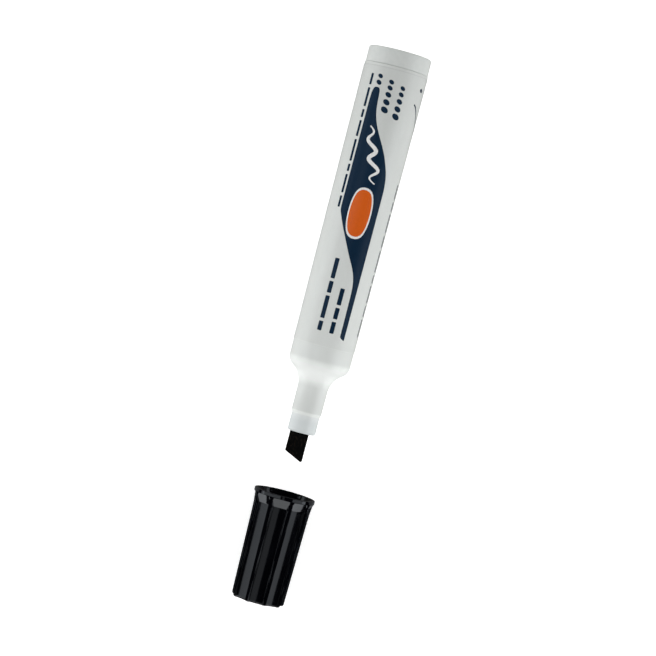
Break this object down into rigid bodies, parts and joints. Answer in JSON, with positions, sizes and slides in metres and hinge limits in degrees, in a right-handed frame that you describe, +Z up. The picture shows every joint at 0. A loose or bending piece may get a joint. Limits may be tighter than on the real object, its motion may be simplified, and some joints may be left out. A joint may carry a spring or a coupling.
{
  "type": "whiteboard marker",
  "caption": "Chisel-tip dry-erase marker with a drafted round barrel, stepped nose and fluted push-on cap pulled off in line with the nib.",
  "frame": {"origin": "on the table, under the middle of the whole object as it lies with its cap pulled off", "axes": "+Z up; the marker's axis runs along Y, 8.9 mm above the table, with the rear plug towards +Y and the nib and cap towards -Y; +X is to the right when seen from above with the rear end away from the viewer"},
  "size_m": [0.0178, 0.1544, 0.0178],
  "materials": {
    "barrel_plastic": "satin white moulded polypropylene",
    "printed_film": "satin white film with navy and orange print",
    "plug_plastic": "satin white moulded polypropylene",
    "reservoir_wrap": "thin clear film",
    "inked_fibre": "ink-soaked fibre",
    "nib_felt": "black ink-soaked acrylic fibre",
    "cap_plastic": "glossy black moulded plastic",
    "liner_plastic": "natural milky polyethylene"
  },
  "bodies": {
    "marker": {"barrel": "barrel_plastic", "print_film": "printed_film", "rear_plug": "plug_plastic", "reservoir_wrap": "reservoir_wrap", "reservoir_core": "inked_fibre", "nib": "nib_felt"},
    "cap": {"cap_shell": "cap_plastic", "cap_liner": "liner_plastic"}
  },
  "joints": [
    {"name": "cap_slide", "type": "slide", "parent": "marker", "child": "cap", "axis": [0, 1, 0], "range_m": [0, 0.0354]}
  ]
}
